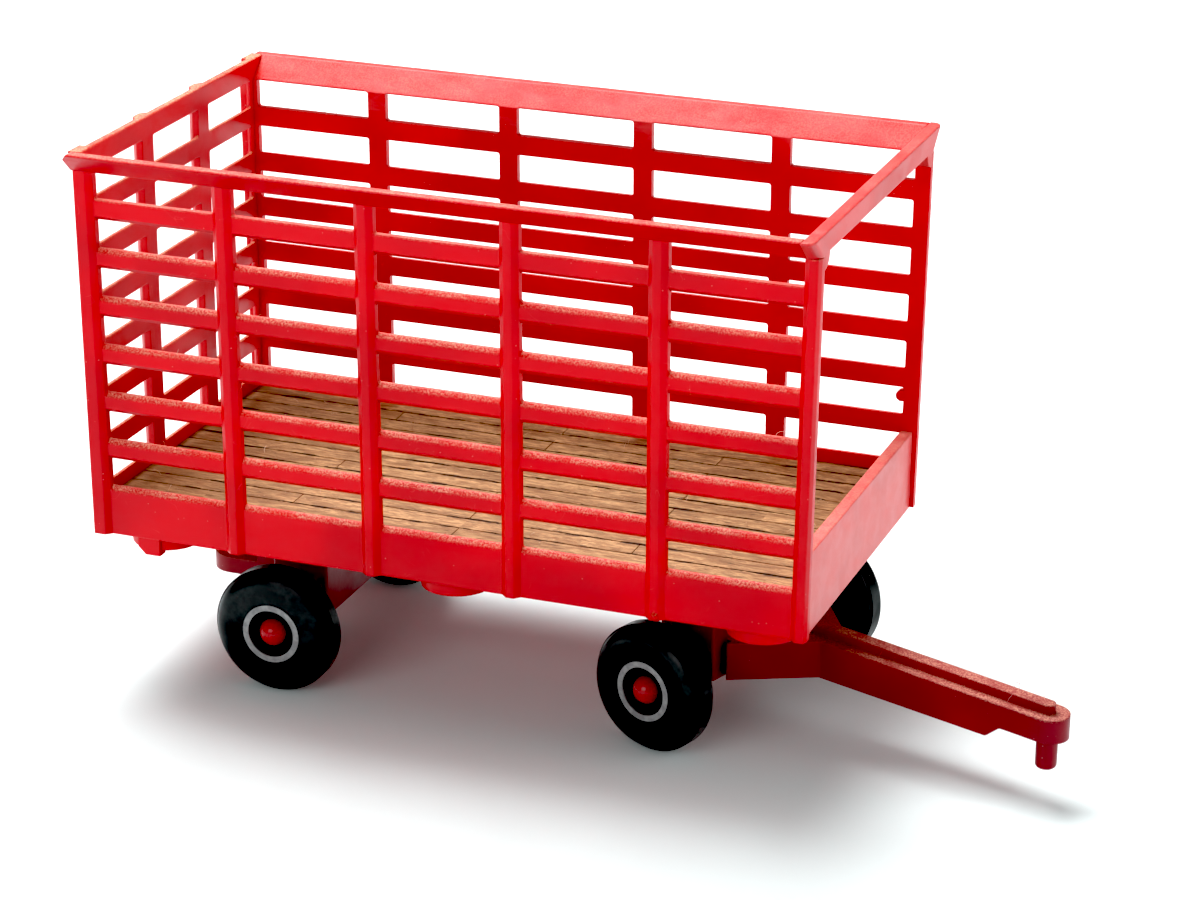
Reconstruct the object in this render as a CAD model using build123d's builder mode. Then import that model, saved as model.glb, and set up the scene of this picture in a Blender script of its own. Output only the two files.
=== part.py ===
from build123d import *
import math
import os

os.makedirs("parts", exist_ok=True)

# A small-scale farm bale wagon, millimetres. +X is the towing end, +Y the left side, +Z up.
# The ground is Z = 0, and the origin is midway between the rear posts and the tip of the drawbar.

# ---- Rack: five moulded panels round a floor pan ----
rack_length = 76.0            # over the front and rear posts
rack_width = 38.6             # over the side posts
rack_height = 40.3            # from the underside of the rails to the rim
rack_clearance = 16.0         # ground to the underside of the rails
web = 0.75                    # thickness of slats and rails
post_relief = 0.6             # how far the posts stand out of the slats
post_width = 2.0
front_post_width = 1.65
rear_post_lean = -0.5         # how far a side's rear post leans by the top, and so on forwards
fifth_post_lean = -0.12
front_post_lean = 0.4
rear_panel_post_width = 2.3
rear_edge_strip = 0.6         # strip left at each end of the rear panel's windows
post_bevel = 0.6              # width of the slope on each side of a post
corner_bevel = 0.2            # small break on the outer corner of an end post
bottom_rail_height = 5.1
top_rail_height = 2.2
slat_height = 2.05
slat_count = 6
side_bays = 5
rear_bays = 3
window_corner = 0.25
slat_bevel = 0.4
flare = 2.35                  # how far the side rims lean out past the posts
rim_width = 1.3
rim_round = 0.15
bar_depth = 1.3               # front top bar, fore and aft
bar_height = 2.05
bar_overhang = 0.25           # bar's ends past the side rims
bar_gusset = 1.5              # round under each end of the front top bar
bar_end_round = 0.75
rear_corner_bevel = 0.75      # on the slanting rear corners of the rims
panel_height = 8.3            # low front panel
gate_bead_radius = 0.4        # bead at the foot of the right side's fifth post
gate_bead_from_rear = 60.7
gate_bead_height = 0.42
gate_stub_radius = 0.6        # stub in a front window of the left side
gate_stub_height = 12.1

# ---- Floor ----
pan_height = 1.5              # underside of the pan above the underside of the rails
pan_thickness = 1.2
boards_thickness = 1.0
board_count = 14
board_groove = 0.16           # width and depth of the grooves between boards
board_end_gap = 0.10
fit_gap = 0.05                # around the loose board insert
stack_boss_radius = 3.6
stack_boss_drop = 1.7         # below the underside of the rails
stack_boss_spacing = 32.0
stack_boss_offset = 14.0      # from the centreline
lug_length = 2.4
lug_thickness = 1.2
lug_drop = 2.1
lug_ahead = 1.65              # lug's centre ahead of the middle of the rear stacking boss's back half
lug_bevel = 0.8
screw_spacing = 18.0
screw_boss_radius = 1.7

# ---- Wheels and axles ----
tyre_radius = 6.6
tyre_width = 3.8
tread_step = 0.12
shoulder = 1.15               # width of the rounded shoulder
sidewall_radius = 4.8         # where the flat sidewall meets the shoulder
wheel_face = 16.5             # outer face of a wheel from the centreline
band_outer = 3.1              # silver band on the wheel face
band_inner = 2.5
band_seat = 0.15
band_proud = 0.04
dish_depth = 0.9
dish_floor_radius = 2.25
axle_radius = 0.75
axle_fit = 0.08               # running clearance of the wheel on its axle
press_gap = 0.02
cap_radius = 1.4
cap_rim = 0.3
cap_dome = 1.15
end_float = 0.15              # side play of a wheel between its housing and its cap
rear_axle_from_rear = 18.5    # from the outside of the rear posts
kingpin_from_rear = 63.3

# ---- Cast running gear ----
bolster_half_length = 3.0     # fore and aft, rear bolster
beam_half_length = 3.3        # fore and aft, front beam
bolster_half_width = 9.4
bolster_bottom = 6.1
bolster_wall = 1.2
bolster_flare = 1.0           # widening under the rear bolster's top plate
housing_radius = 1.6
housing_gap = 0.2             # between the end of an axle housing and its wheel
reach_width = 12.0
reach_thickness = 2.0
rivet_radius = 1.6            # stub on the rear bolster, through the reach
hitch_half_width = 2.6
hitch_thickness = 1.8
hitch_hole_radius = 1.7
hitch_from_rear = 7.9         # centre of the hitch hole
hitch_rear_wall = 1.75
hitch_step_from_rear = 10.3
hitch_step_height = 3.4
turntable_radius = 5.5
turntable_gap = 0.2           # under the reach
beam_top = 12.2
pivot_boss_radius = 3.2
kingpin_radius = 1.2
kingpin_fit = 0.06
kingpin_head_radius = 2.1
kingpin_head = 0.9
kingpin_head_gap = 0.35       # between the kingpin's head and the axle
kingpin_head_side_gap = 0.2   # round the head, in the beam's underside

# ---- Drawbar, one casting with the front beam ----
steer = -17.6                 # where the drawbar stands, degrees from straight ahead
arm_root_half = 8.3
arm_root_reach = 4.1          # kingpin to the root of each arm, with a notch between it and the beam
arm_root_inset = 1.1
arm_thickness = 1.6
arm_top = 10.0
neck_reach = 10.9             # kingpin to where the arms meet the tongue
tongue_half_width = 2.0
tongue_drop = 2.1             # slope of the tongue, degrees
tongue_depth = 3.7
tip_depth = 2.4               # depth ahead of the step in the underside
step_reach = 30.4
step_length = 1.5
rib_half_width = 0.75
rib_height = 0.93
rib_setback = 1.45            # rib's end behind the tongue's tip
pin_reach = 36.1
tip_reach = 36.2              # centre of the tongue's round tip
pin_radius = 1.05
pin_length = 3.4
pin_round = 0.45

# ---- Worked-out places ----
turn = math.radians(steer)
drawbar_reach = tip_reach * math.cos(turn) + tongue_half_width
overall_length = kingpin_from_rear + drawbar_reach - rear_post_lean / 2
rear_x = -(kingpin_from_rear + drawbar_reach + rear_post_lean / 2) / 2
front_x = rear_x + rack_length
half_width = rack_width / 2
inner_y = half_width - web - post_relief
rail_z = rack_clearance
rim_z = rail_z + rack_height
rail_top_z = rim_z - top_rail_height
web_height = rack_height - top_rail_height
slat_gap = (web_height - bottom_rail_height - slat_count * slat_height) / (slat_count + 1)
slat_pitch = slat_gap + slat_height
window_mid_z = bottom_rail_height + slat_gap / 2 + slat_count * slat_pitch / 2
pan_z = rail_z + pan_height
boards_z = pan_z + pan_thickness
rear_inner_x = rear_x + web + post_relief
front_face_x = front_x - post_relief
front_inner_x = front_face_x - bar_depth
axle_z = tyre_radius
rear_axle_x = rear_x + rear_axle_from_rear
king_x = rear_x + kingpin_from_rear
housing_end = wheel_face - tyre_width - housing_gap
reach_z = pan_z - reach_thickness
hitch_x = rear_x + hitch_from_rear

# Outward-looking planes on the inner faces of the walls, with Z up on the page.
right_wall = Plane(origin=(rear_x, -inner_y, rail_z), x_dir=(1, 0, 0), z_dir=(0, -1, 0))
rear_wall = Plane(origin=(rear_inner_x, 0, rail_z), x_dir=(0, -1, 0), z_dir=(-1, 0, 0))

# The drawbar's own directions at the kingpin.
ahead = (math.cos(turn), math.sin(turn), 0)
leftward = (-math.sin(turn), math.cos(turn), 0)
rightward = (math.sin(turn), -math.cos(turn), 0)


def steered_plan(height):
    return Plane(origin=(king_x, 0, height), x_dir=ahead, z_dir=(0, 0, 1))


steered_side = Plane(origin=(king_x, 0, 0), x_dir=ahead, z_dir=rightward)
steered_axle = Plane(origin=(king_x, 0, axle_z), x_dir=ahead, z_dir=rightward)
rear_side = Plane(origin=(rear_axle_x, 0, 0), x_dir=(1, 0, 0), z_dir=(0, -1, 0))
rear_axle_plane = Plane(origin=(rear_axle_x, 0, axle_z), x_dir=(1, 0, 0), z_dir=(0, -1, 0))


def panel_windows(wall, first, last, bays, post):
    """Rows of round-cornered windows between first and last along a wall."""
    pitch = (last - first + post) / bays
    with BuildSketch(wall, mode=Mode.PRIVATE) as windows:
        with Locations(((first + last) / 2, window_mid_z)):
            with GridLocations(pitch, slat_pitch, bays, slat_count + 1):
                RectangleRounded(pitch - post, slat_gap, window_corner)
    return windows.sketch


def leaning(x, lean, height):
    """Where an upright line that leans by this much over a side's height has got to at a height."""
    return x + lean * (height / web_height - 0.5)


def leaning_windows(wall, first, last, leans):
    """Rows of windows between posts that lean: leans has one value for each post."""
    bays = len(leans) - 1
    pitch = (last - first + post_width) / bays
    with BuildSketch(wall, mode=Mode.PRIVATE) as windows:
        for bay in range(bays):
            left = first + bay * pitch
            right = left + pitch - post_width
            for row in range(slat_count + 1):
                low = bottom_rail_height + row * slat_pitch
                high = low + slat_gap
                with BuildLine():
                    Polyline(
                        (leaning(left, leans[bay], low), low),
                        (leaning(right, leans[bay + 1], low), low),
                        (leaning(right, leans[bay + 1], high), high),
                        (leaning(left, leans[bay], high), high), close=True)
                make_face()
        fillet(windows.vertices(), window_corner)
    return windows.sketch


def post_sketch(wall, start, width, left_bevel, right_bevel):
    """Plan of a post with sloping sides that stands on the outside of a wall."""
    foot = Plane(origin=wall.origin, x_dir=wall.x_dir, z_dir=(0, 0, 1))
    outward = 1 if (foot.y_dir - wall.z_dir).length < 1 else -1
    out = web + post_relief
    with BuildSketch(foot, mode=Mode.PRIVATE) as plan:
        with BuildLine():
            Polyline(
                (start, 0), (start + width, 0), (start + width, outward * web),
                (start + width - right_bevel, outward * out),
                (start + left_bevel, outward * out), (start, outward * web), close=True)
        make_face()
    return plan.sketch


def window_rims(solid, wall):
    """Edges of the windows on the outer face of a wall."""
    outward = Axis(wall.origin, wall.z_dir)
    outer_face = solid.faces().filter_by(outward).sort_by(outward)[-1]
    return [edge for loop in outer_face.inner_wires() for edge in loop.edges()]


# ---- Side panel: the right side as moulded, and mirrored for the left ----
side_first = post_width
side_last = rack_length - front_post_width
side_pitch = (side_last - side_first + post_width) / side_bays
rail_end_x = front_x + front_post_lean / 2 - bar_depth
lean_step = (fifth_post_lean - rear_post_lean) / (side_bays - 1)
post_leans = [rear_post_lean + post * lean_step for post in range(side_bays)] + [front_post_lean]
post_starts = [side_first - post_width + post * side_pitch for post in range(side_bays + 1)]

with BuildPart() as side_panel:
    with BuildSketch(right_wall):
        with BuildLine():
            Polyline(
                (leaning(0, rear_post_lean, 0), 0), (leaning(rack_length, front_post_lean, 0), 0),
                (leaning(rack_length, front_post_lean, web_height), web_height),
                (leaning(0, rear_post_lean, web_height), web_height), close=True)
        make_face()
    extrude(amount=web)
    extrude(leaning_windows(right_wall, side_first, side_last, post_leans), amount=web,
            mode=Mode.SUBTRACT)
    chamfer(window_rims(side_panel.part, right_wall), slat_bevel)
    for post in range(side_bays + 1):
        width = post_width if post < side_bays else front_post_width
        left_bevel = post_bevel if post else corner_bevel
        right_bevel = post_bevel if post < side_bays else corner_bevel
        foot = leaning(post_starts[post], post_leans[post], 0)
        extrude(post_sketch(right_wall, foot, width, left_bevel, right_bevel), amount=web_height,
                dir=(post_leans[post], 0, web_height))
    # The rim leans outwards and stops where the front bar takes over.
    rim_start = rear_x + rear_post_lean / 2
    with BuildSketch(Plane.YZ.offset(rim_start)):
        with BuildLine():
            Polyline(
                (-inner_y, rail_top_z), (-half_width, rail_top_z), (-half_width - flare, rim_z),
                (-half_width - flare + rim_width, rim_z), close=True)
        make_face()
    extrude(amount=rail_end_x - rim_start)
    rear_corner = edges().filter_by_position(Axis.X, rim_start - 0.01, rim_start + 0.01).filter_by(
        lambda edge: edge.center().Y < -half_width - flare / 4)
    chamfer(rear_corner.sort_by(Axis.Y)[0], rear_corner_bevel)
    rim_edges = edges().filter_by(Axis.X).filter_by_position(Axis.Z, rim_z - 0.01, rim_z + 0.01)
    fillet(rim_edges, rim_round)

# Each side has one moulding gate mark: a bead at the foot of a post, and a bead in a front window.
with BuildPart() as right_side:
    add(side_panel.part)
    with Locations((rear_x + gate_bead_from_rear, -half_width, rail_z + gate_bead_height)):
        Sphere(gate_bead_radius)
right_side.part.label = "right_side"

with BuildPart() as left_side:
    mirror(side_panel.part, about=Plane.XZ)
    with BuildSketch(Plane.XZ.offset(-inner_y)):
        with Locations((rear_x + side_last - gate_stub_radius / 2, rail_z + gate_stub_height)):
            Circle(gate_stub_radius)
    extrude(amount=-web)
left_side.part.label = "left_side"

# ---- Rear panel, between the sides ----
rear_half = inner_y
rear_first = -rear_half + rear_edge_strip
rear_last = rear_half - rear_edge_strip
rear_pitch = (rear_last - rear_first + rear_panel_post_width) / rear_bays

with BuildPart() as rear_panel:
    with BuildSketch(rear_wall):
        with Locations((0, rack_height / 2)):
            Rectangle(2 * rear_half, rack_height)
    extrude(amount=web)
    extrude(panel_windows(rear_wall, rear_first, rear_last, rear_bays, rear_panel_post_width),
            amount=web, mode=Mode.SUBTRACT)
    chamfer(window_rims(rear_panel.part, rear_wall), slat_bevel)
    for bay in range(1, rear_bays):
        post_start = rear_first - rear_panel_post_width + bay * rear_pitch
        extrude(post_sketch(rear_wall, post_start, rear_panel_post_width, post_bevel, post_bevel),
                amount=rack_height)
    # Its top fills the corners out to the leaning side rims.
    for side in (-1, 1):
        with BuildSketch(rear_wall):
            with BuildLine():
                Polyline(
                    (side * rear_half, rail_top_z - rail_z), (side * rear_half, rack_height),
                    (side * (half_width + flare - rim_width - fit_gap), rack_height), close=True)
            make_face()
        extrude(amount=web + post_relief)
    rear_rim = edges().filter_by(Axis.Y).filter_by_position(Axis.Z, rim_z - 0.01, rim_z + 0.01)
    fillet(rear_rim, rim_round)
rear_panel.part.label = "rear_panel"

# ---- Low front panel, set back from the faces of the end posts ----
with BuildPart() as front_panel:
    with BuildSketch(Plane.XZ.offset(-inner_y)):
        with BuildLine():
            Polyline(
                (front_inner_x, rail_z), (front_face_x, rail_z),
                (front_face_x, rail_z + panel_height), (front_inner_x, rail_z + panel_height),
                close=True)
        make_face()
    extrude(amount=2 * inner_y)
    panel_rim = edges().filter_by(Axis.Y).sort_by(Axis.Z)[-2:]
    fillet(panel_rim, rim_round)
front_panel.part.label = "front_panel"

# ---- Front top bar, capping the ends of both side rims ----
bar_underside = rim_z - bar_height
bar_end = half_width + flare + bar_overhang
bar_front_x = rail_end_x + bar_depth
with BuildPart() as front_bar:
    with BuildSketch(Plane.YZ.offset(rail_end_x)):
        with BuildLine():
            Line((-inner_y, rail_top_z), (-half_width, rail_top_z))
            Line((-half_width, rail_top_z), (-bar_end, rim_z))
            Line((-bar_end, rim_z), (bar_end, rim_z))
            Line((bar_end, rim_z), (half_width, rail_top_z))
            Line((half_width, rail_top_z), (inner_y, rail_top_z))
            Line((inner_y, rail_top_z), (inner_y, bar_underside - bar_gusset))
            RadiusArc((inner_y, bar_underside - bar_gusset),
                      (inner_y - bar_gusset, bar_underside), bar_gusset)
            Line((inner_y - bar_gusset, bar_underside), (-inner_y + bar_gusset, bar_underside))
            RadiusArc((-inner_y + bar_gusset, bar_underside),
                      (-inner_y, bar_underside - bar_gusset), bar_gusset)
            Line((-inner_y, bar_underside - bar_gusset), (-inner_y, rail_top_z))
        make_face()
    extrude(amount=bar_depth)
    slanted = edges().filter_by_position(Axis.X, bar_front_x - 0.01, bar_front_x + 0.01).filter_by(
        lambda edge: abs(edge.center().Y) > half_width)
    fillet(slanted, bar_end_round)
    bar_rim = edges().filter_by_position(Axis.Z, rim_z - 0.01, rim_z + 0.01)
    fillet(bar_rim, rim_round)
front_bar.part.label = "front_bar"

# ---- Floor pan with its stacking bosses, and screw bosses for the reach ----
pan_length = front_inner_x - rear_inner_x
pan_mid_x = (front_inner_x + rear_inner_x) / 2
rack_mid_x = rear_x + rack_length / 2
screw_mid_x = (rear_axle_x + king_x) / 2
screw_places = [(screw_mid_x - screw_spacing / 2, 0), (screw_mid_x + screw_spacing / 2, 0)]

with BuildPart() as floor_pan:
    with BuildSketch(Plane.XY.offset(pan_z)):
        with Locations((pan_mid_x, 0)):
            Rectangle(pan_length, 2 * inner_y)
    extrude(amount=pan_thickness)
    with BuildSketch(Plane.XY.offset(rail_z - stack_boss_drop)):
        with Locations((rack_mid_x, 0)):
            with GridLocations(stack_boss_spacing, 2 * stack_boss_offset, 3, 2):
                Circle(stack_boss_radius)
    extrude(amount=pan_height + stack_boss_drop)
    boss_rims = edges().filter_by(GeomType.CIRCLE).group_by(Axis.Z)[0]
    fillet(boss_rims, rim_round)
    lug_x = rack_mid_x - stack_boss_spacing - stack_boss_radius / 2
    lug_back = lug_x + lug_ahead - lug_length / 2
    lug_foot = rail_z - lug_drop
    with BuildSketch(Plane.XZ.offset(inner_y)):
        with BuildLine():
            Polyline(
                (lug_back, lug_foot + lug_bevel), (lug_back + lug_bevel, lug_foot),
                (lug_back + lug_length, lug_foot), (lug_back + lug_length, rail_z + pan_height),
                (lug_back, rail_z + pan_height), close=True)
        make_face()
    extrude(amount=-lug_thickness)
    with BuildSketch(Plane.XY.offset(reach_z)):
        with Locations(*screw_places):
            Circle(screw_boss_radius)
    extrude(amount=reach_thickness)
    screw_core = 0.6
    with BuildSketch(Plane.XY.offset(reach_z)):
        with Locations(*screw_places):
            Circle(screw_core)
    extrude(amount=reach_thickness + pan_thickness / 2, mode=Mode.SUBTRACT)
floor_pan.part.label = "floor_pan"

# ---- Board floor: one loose insert moulded as fourteen boards ----
boards_half = inner_y - fit_gap
boards_length = pan_length - 2 * fit_gap
board_pitch = 2 * boards_half / board_count
boards_top = boards_z + boards_thickness

with BuildPart() as board_floor:
    with BuildSketch(Plane.XY.offset(boards_z)):
        with Locations((pan_mid_x, 0)):
            Rectangle(boards_length, 2 * boards_half)
    extrude(amount=boards_thickness)
    with BuildSketch(Plane.XY.offset(boards_top)):
        with Locations((pan_mid_x, 0)):
            with GridLocations(1, board_pitch, 1, board_count - 1):
                Rectangle(boards_length, board_groove)
        # Board ends meet at mid length on every other board, and a quarter length off on the rest.
        quarter = boards_length / 4
        for row in range(board_count):
            row_y = -boards_half + (row + 0.5) * board_pitch
            joints = [0] if row % 2 else [-quarter, quarter]
            with Locations(*[(pan_mid_x + joint, row_y) for joint in joints]):
                Rectangle(board_end_gap, board_pitch)
    extrude(amount=-board_groove, mode=Mode.SUBTRACT)
board_floor.part.label = "board_floor"

# ---- Reach: the flat bar under the floor that joins the two carriages ----
rivet_x = rear_axle_x
with BuildPart() as reach:
    with BuildSketch(Plane.XY.offset(reach_z)):
        with Locations(((rear_axle_x + king_x) / 2, 0)):
            Rectangle(king_x - rear_axle_x, reach_width)
        with Locations((rear_axle_x, 0), (king_x, 0)):
            Circle(reach_width / 2)
    extrude(amount=reach_thickness)
    with BuildSketch(Plane.XY.offset(reach_z)):
        with Locations(*screw_places):
            Circle(screw_boss_radius + fit_gap)
        with Locations((king_x, 0)):
            Circle(kingpin_radius + press_gap)
        with Locations((rivet_x, 0)):
            Circle(rivet_radius + press_gap)
    extrude(amount=reach_thickness, mode=Mode.SUBTRACT)
reach.part.label = "reach"

# ---- Rear carriage: bolster, axle housing and hitch in one casting ----
with BuildPart() as rear_carriage:
    flare_z = reach_z - bolster_flare - bolster_wall
    wide = bolster_half_length + bolster_flare
    with BuildSketch(rear_side):
        with BuildLine():
            Polyline(
                (-bolster_half_length, bolster_bottom), (bolster_half_length, bolster_bottom),
                (bolster_half_length, flare_z - bolster_flare), (wide, flare_z),
                (wide, reach_z), (-wide, reach_z), (-wide, flare_z),
                (-bolster_half_length, flare_z - bolster_flare), close=True)
        make_face()
    extrude(amount=bolster_half_width, both=True)
    long_edges = edges().filter_by(Axis.Z).filter_by_position(
        Axis.Z, bolster_bottom, flare_z).filter_by_position(
        Axis.Y, -bolster_half_width - 0.1, bolster_half_width + 0.1)
    fillet(long_edges, 0.3)
    with BuildSketch(Plane.XY.offset(bolster_bottom)):
        with Locations((rear_axle_x, 0)):
            Rectangle(2 * (bolster_half_length - bolster_wall), 2 * (bolster_half_width - bolster_wall))
    extrude(amount=flare_z - bolster_bottom, mode=Mode.SUBTRACT)
    with BuildSketch(Plane.XY.offset(reach_z)):
        with Locations((rivet_x, 0)):
            Circle(rivet_radius)
    extrude(amount=reach_thickness)
    for side in (-1, 1):
        with BuildSketch(rear_axle_plane.offset(side * (bolster_half_width - bolster_wall))):
            Circle(housing_radius)
        extrude(amount=side * (housing_end - bolster_half_width + bolster_wall))
    # Hitch loop behind the bolster, with a taller shank.
    loop_x = hitch_x - hitch_hole_radius - hitch_rear_wall + hitch_half_width
    shank_end_x = rear_axle_x - bolster_half_length
    with BuildSketch(Plane.XY.offset(bolster_bottom)):
        with Locations(((loop_x + shank_end_x) / 2, 0)):
            Rectangle(shank_end_x - loop_x, 2 * hitch_half_width)
        with Locations((loop_x, 0)):
            Circle(hitch_half_width)
    extrude(amount=hitch_thickness)
    hitch_step_x = rear_x + hitch_step_from_rear
    with BuildSketch(Plane.XY.offset(bolster_bottom)):
        with Locations(((hitch_step_x + shank_end_x) / 2, 0)):
            Rectangle(shank_end_x - hitch_step_x, 2 * hitch_half_width)
    extrude(amount=hitch_step_height)
    with BuildSketch(Plane.XY.offset(bolster_bottom)):
        with Locations((hitch_x, 0)):
            Circle(hitch_hole_radius)
    extrude(amount=hitch_thickness, mode=Mode.SUBTRACT)
    with BuildSketch(rear_axle_plane):
        Circle(axle_radius + press_gap)
    extrude(amount=housing_end, both=True, mode=Mode.SUBTRACT)
rear_carriage.part.label = "rear_carriage"

# ---- Front carriage: turntable, beam, drawbar arms, tongue and hitch pin in one casting ----
turntable_z = reach_z - turntable_gap
head_z = axle_z + axle_radius + kingpin_head_gap
seat_z = head_z + kingpin_head
drop = math.tan(math.radians(tongue_drop))
arm_slope = (arm_root_half - tongue_half_width) / (neck_reach - arm_root_reach)
arm_back = arm_thickness / math.sin(math.atan(arm_slope))
neck_back = neck_reach - arm_back
tip_x = tip_reach + tongue_half_width


def tongue_top(reach):
    return arm_top - drop * (reach - neck_reach)


# The tongue slopes down a little; it is cut to a round-ended outline.
with BuildPart() as tongue:
    with BuildSketch(steered_side):
        with BuildLine():
            Polyline(
                (neck_back, tongue_top(neck_back)),
                (neck_back, bolster_bottom),
                (neck_reach, bolster_bottom),
                (step_reach, tongue_top(step_reach) - tongue_depth),
                (step_reach + step_length, tongue_top(step_reach + step_length) - tip_depth),
                (tip_x, tongue_top(tip_x) - tip_depth), (tip_x, tongue_top(tip_x)), close=True)
        make_face()
    extrude(amount=tongue_half_width, both=True)
    step_edges = edges().filter_by_position(
        Axis(tuple(steered_side.origin), ahead), step_reach - 0.1, step_reach + step_length + 0.1)
    fillet(step_edges.filter_by(Axis((0, 0, 0), rightward)), 0.6)
    with BuildSketch(steered_plan(0)):
        with Locations((tip_reach / 2, 0)):
            Rectangle(tip_reach, 2 * tongue_half_width)
        with Locations((tip_reach, 0)):
            Circle(tongue_half_width)
    extrude(amount=rim_z, mode=Mode.INTERSECT)

with BuildPart() as rib:
    rib_tip = tip_x - rib_setback
    with BuildSketch(steered_side):
        with BuildLine():
            Polyline(
                (neck_back, tongue_top(neck_back) - rib_height),
                (rib_tip, tongue_top(rib_tip) - rib_height),
                (rib_tip, tongue_top(rib_tip) + rib_height),
                (neck_back, tongue_top(neck_back) + rib_height), close=True)
        make_face()
    extrude(amount=rib_half_width, both=True)
    with BuildSketch(steered_plan(0)):
        with Locations(((rib_tip - rib_half_width) / 2, 0)):
            Rectangle(rib_tip - rib_half_width, 2 * rib_half_width)
        with Locations((rib_tip - rib_half_width, 0)):
            Circle(rib_half_width)
    extrude(amount=rim_z, mode=Mode.INTERSECT)

with BuildPart() as front_carriage:
    with BuildSketch(steered_plan(bolster_bottom)):
        Rectangle(2 * beam_half_length, 2 * bolster_half_width)
    extrude(amount=beam_top - bolster_bottom)
    fillet(edges().filter_by(Axis.Z), 0.3)
    with BuildSketch(steered_plan(beam_top)):
        Circle(turntable_radius)
    extrude(amount=turntable_z - beam_top)
    with BuildSketch(steered_plan(bolster_bottom)):
        Rectangle(2 * (beam_half_length - bolster_wall), 2 * (bolster_half_width - bolster_wall))
    extrude(amount=beam_top - bolster_wall - bolster_bottom, mode=Mode.SUBTRACT)
    with BuildSketch(steered_plan(seat_z)):
        Circle(pivot_boss_radius)
    extrude(amount=beam_top - seat_z)
    for side in (-1, 1):
        with BuildSketch(steered_axle.offset(side * (bolster_half_width - bolster_wall))):
            Circle(housing_radius)
        extrude(amount=side * (housing_end - bolster_half_width + bolster_wall))
    # Two arms run from the beam to the neck, each with a notch beside the beam.
    for side in (-1, 1):
        with BuildSketch(steered_plan(bolster_bottom)):
            with BuildLine():
                Polyline(
                    (beam_half_length, side * (arm_root_half - arm_root_inset)),
                    (arm_root_reach, side * (arm_root_half - arm_root_inset)),
                    (arm_root_reach, side * arm_root_half),
                    (neck_reach, side * tongue_half_width), (neck_reach, 0), (neck_back, 0),
                    (neck_back, side * tongue_half_width),
                    (beam_half_length, side * (tongue_half_width
                                                  + arm_slope * (neck_back - beam_half_length))),
                    close=True)
            make_face()
        extrude(amount=arm_top - bolster_bottom)
    add(tongue.part)
    add(rib.part)
    # Hitch pin under the tip.
    pin_top_z = tongue_top(pin_reach) - tip_depth / 2
    pin_end_z = tongue_top(pin_reach) - tip_depth - pin_length
    with BuildSketch(steered_plan(pin_end_z)):
        with Locations((pin_reach, 0)):
            Circle(pin_radius)
    extrude(amount=pin_top_z - pin_end_z)
    fillet(edges().filter_by(GeomType.CIRCLE).sort_by(Axis.Z)[0], pin_round)
    with BuildSketch(steered_axle):
        Circle(axle_radius + press_gap)
    extrude(amount=housing_end, both=True, mode=Mode.SUBTRACT)
    with BuildSketch(steered_plan(bolster_bottom)):
        Circle(kingpin_radius + kingpin_fit)
    extrude(amount=turntable_z - bolster_bottom, mode=Mode.SUBTRACT)
    with BuildSketch(steered_plan(bolster_bottom)):
        Circle(kingpin_head_radius + kingpin_head_side_gap)
    extrude(amount=seat_z - bolster_bottom, mode=Mode.SUBTRACT)
front_carriage.part.label = "front_carriage"

# ---- Kingpin: a headed rivet held in the reach, on which the front carriage swings ----
with BuildPart() as kingpin:
    with BuildSketch(Plane.XY.offset(head_z)):
        with Locations((king_x, 0)):
            Circle(kingpin_head_radius)
    extrude(amount=kingpin_head - kingpin_fit)
    with BuildSketch(Plane.XY.offset(head_z)):
        with Locations((king_x, 0)):
            Circle(kingpin_radius)
    extrude(amount=pan_z - head_z)
    fillet(edges().filter_by(GeomType.CIRCLE).sort_by(Axis.Z)[0], 0.3)
kingpin.part.label = "kingpin"

# ---- Two screws that hold the reach to the pan ----
screw_head_radius = 2.3
screw_head = 0.9
slot_width = 0.4
with BuildPart() as carriage_screws:
    with BuildSketch(Plane.XY.offset(reach_z)):
        with Locations(*screw_places):
            Circle(screw_head_radius)
    extrude(amount=-screw_head)
    fillet(edges().filter_by(GeomType.CIRCLE).group_by(Axis.Z)[0], 0.35)
    with BuildSketch(Plane.XY.offset(reach_z)):
        with Locations(*screw_places):
            Circle(screw_core - press_gap)
    extrude(amount=reach_thickness)
    with BuildSketch(Plane.XY.offset(reach_z - screw_head)):
        with Locations(*screw_places):
            Rectangle(2 * screw_head_radius, slot_width)
    extrude(amount=screw_head / 2, mode=Mode.SUBTRACT)
carriage_screws.part.label = "carriage_screws"

# ---- Axles ----
rod_half = wheel_face - dish_depth + end_float + cap_rim + cap_dome / 3
for axle_name, axle_plane in (("rear_axle", rear_axle_plane), ("front_axle", steered_axle)):
    with BuildPart() as axle:
        with BuildSketch(axle_plane):
            Circle(axle_radius)
        extrude(amount=rod_half, both=True)
        chamfer(edges().filter_by(GeomType.CIRCLE), 0.12)
    axle.part.label = axle_name
    export_step(axle.part, "parts/" + axle_name + ".step")


# ---- Wheels, their silver bands and the red hub caps, each turned about its axle ----
inside = wheel_face - tyre_width
dish_floor = wheel_face - dish_depth
tread_radius = tyre_radius - tread_step
half_shoulder = shoulder * 0.29


def section_plane(corner, out):
    """Upright plane through an axle, measured out along the axle and up."""
    return Plane(origin=corner, x_dir=out, z_dir=Vector(*out).cross(Vector(0, 0, 1)))


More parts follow.
